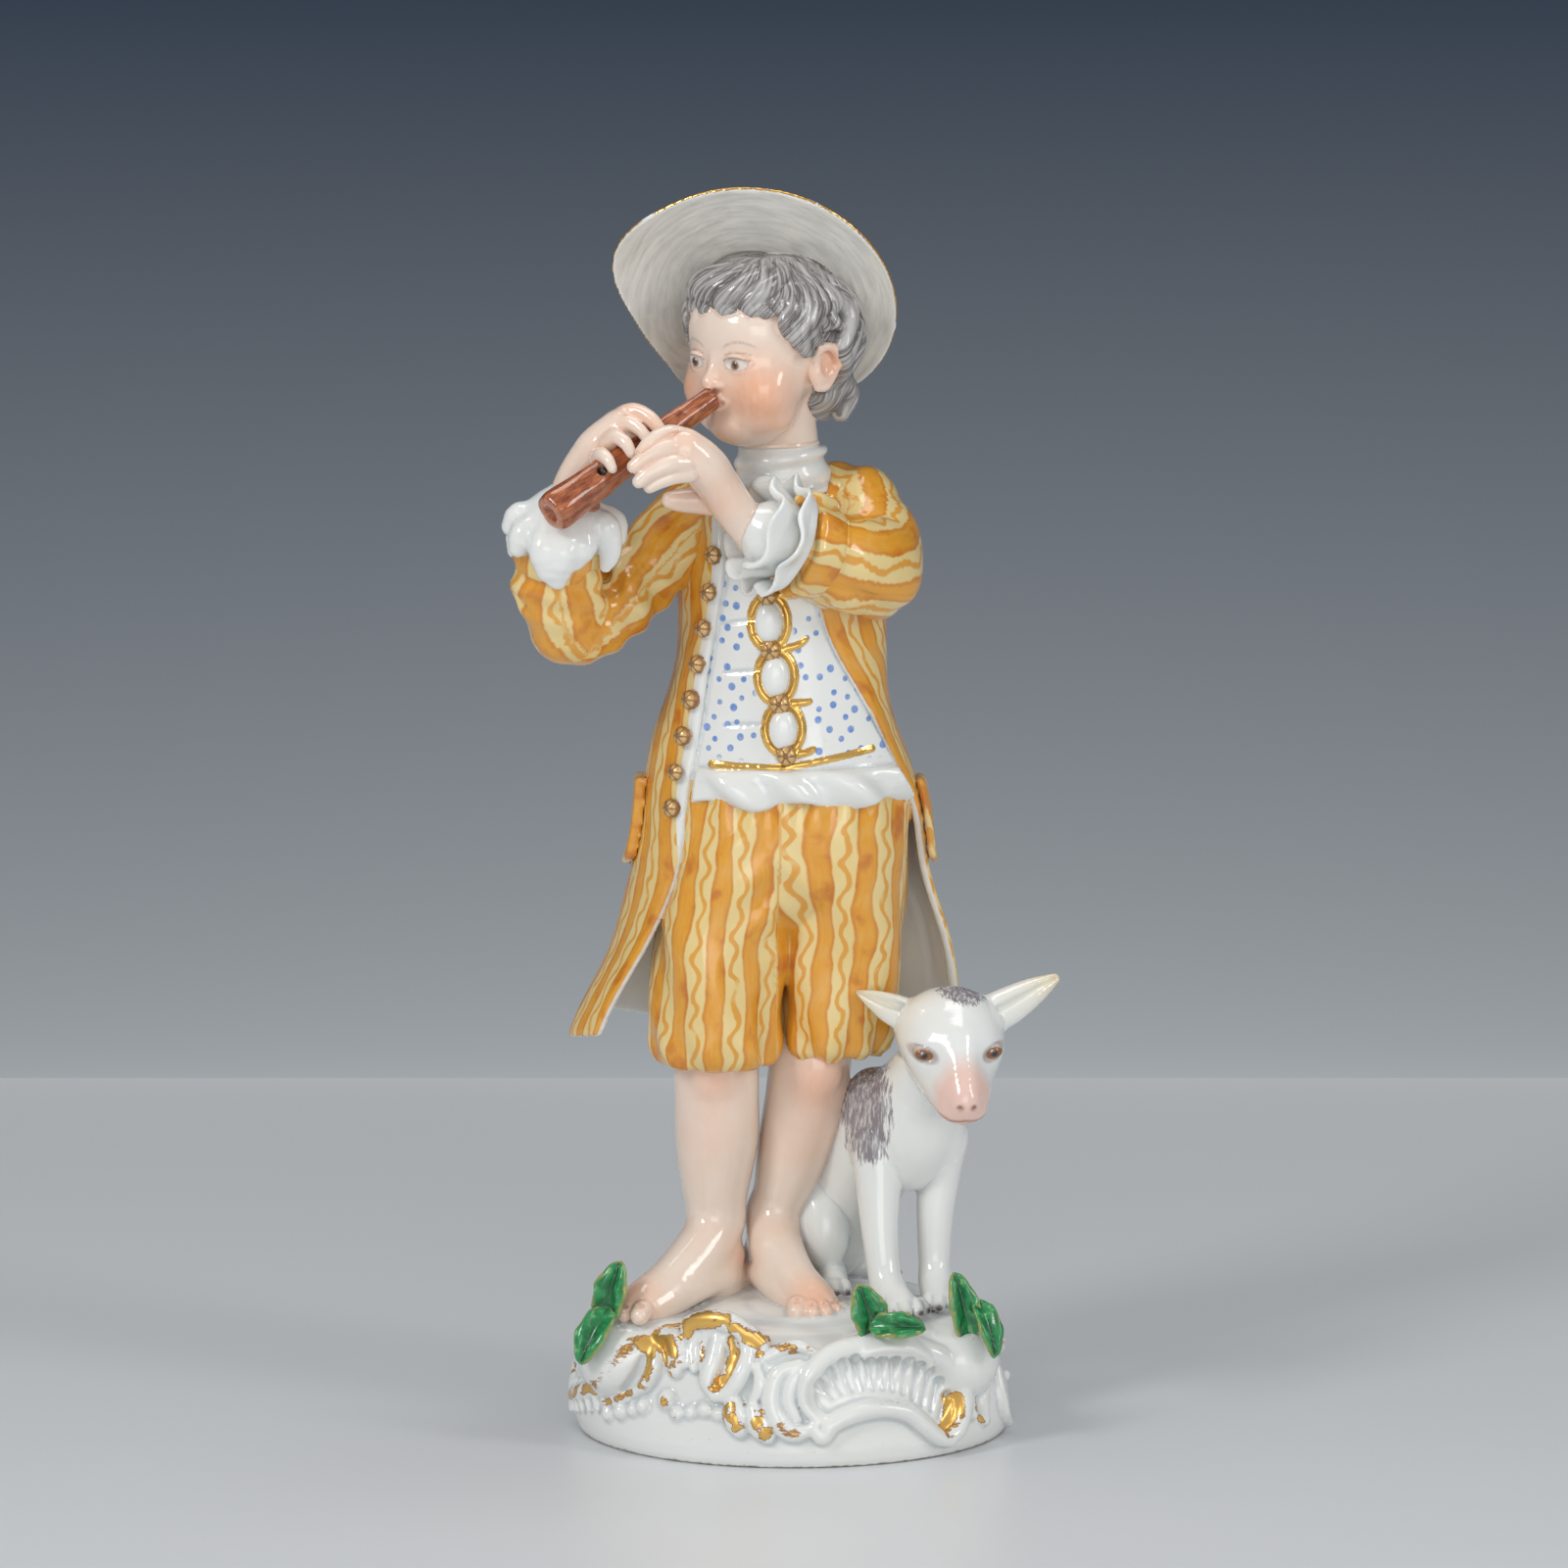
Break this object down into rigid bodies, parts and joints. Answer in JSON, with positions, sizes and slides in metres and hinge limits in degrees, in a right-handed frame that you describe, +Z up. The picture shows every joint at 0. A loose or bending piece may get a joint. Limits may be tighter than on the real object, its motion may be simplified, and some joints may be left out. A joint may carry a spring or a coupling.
{
  "type": "porcelain figurine",
  "caption": "Painted porcelain figurine of a barefoot boy in a striped coat and brimmed hat playing a pipe, with a sitting dog, on a low scrolled base.",
  "frame": {"origin": "centre of the base's flat underside", "axes": "+Z up, -Y the way the boy's chest faces, +X towards the boy's left"},
  "size_m": [0.0648, 0.0463, 0.149],
  "materials": {
    "white_glaze": "glossy white porcelain glaze",
    "flesh_enamel": "pale flesh tint over white glaze",
    "yellow_enamel": "cream ground with painted amber stripes, glossy",
    "grey_enamel": "grey brushed enamel, glossy",
    "hat_enamel": "pale grey brushed wash, glossy",
    "brown_enamel": "streaky red-brown enamel, glossy",
    "green_enamel": "deep green enamel, glossy",
    "gilding": "fired gold over modelled porcelain"
  },
  "bodies": {
    "root": {"base_mound": "white_glaze", "breeches": "yellow_enamel", "coat_back": "yellow_enamel", "coat_button_1": "gilding", "coat_button_2": "gilding", "coat_button_3": "gilding", "coat_button_4": "gilding", "coat_button_5": "gilding", "coat_button_6": "gilding", "coat_button_7": "gilding", "coat_button_8": "gilding", "coat_front_left": "yellow_enamel", "coat_front_right": "yellow_enamel", "dog_body": "white_glaze", "dog_ear_left": "white_glaze", "dog_ear_right": "white_glaze", "dog_foreleg_left": "white_glaze", "dog_foreleg_right": "white_glaze", "dog_head": "white_glaze", "dog_hind_leg_left": "white_glaze", "dog_hind_leg_right": "white_glaze", "dog_tail": "white_glaze", "frog_toggle_1": "white_glaze", "frog_toggle_2": "white_glaze", "frog_toggle_3": "white_glaze", "hair": "grey_enamel", "hat_brim": "hat_enamel", "hat_crown": "hat_enamel", "head": "flesh_enamel", "leaf_front_lying": "green_enamel", "leaf_front_upright": "green_enamel", "leaf_left_lower": "green_enamel", "leaf_left_upper": "green_enamel", "leaf_right_lower": "green_enamel", "leaf_right_upper": "green_enamel", "left_cuff": "yellow_enamel", "left_hand": "flesh_enamel", "left_leg": "flesh_enamel", "left_ruffle": "white_glaze", "left_sleeve": "yellow_enamel", "neck_stock": "white_glaze", "pipe": "brown_enamel", "pocket_flap_left": "yellow_enamel", "pocket_flap_right": "yellow_enamel", "right_cuff": "yellow_enamel", "right_hand": "flesh_enamel", "right_leg": "flesh_enamel", "right_ruffle": "white_glaze", "right_sleeve": "yellow_enamel", "shirt_frill": "white_glaze", "waistcoat_body": "white_glaze", "waistcoat_button_1": "gilding", "waistcoat_button_2": "gilding", "waistcoat_button_3": "gilding", "waistcoat_button_4": "gilding"}
  },
  "joints": []
}
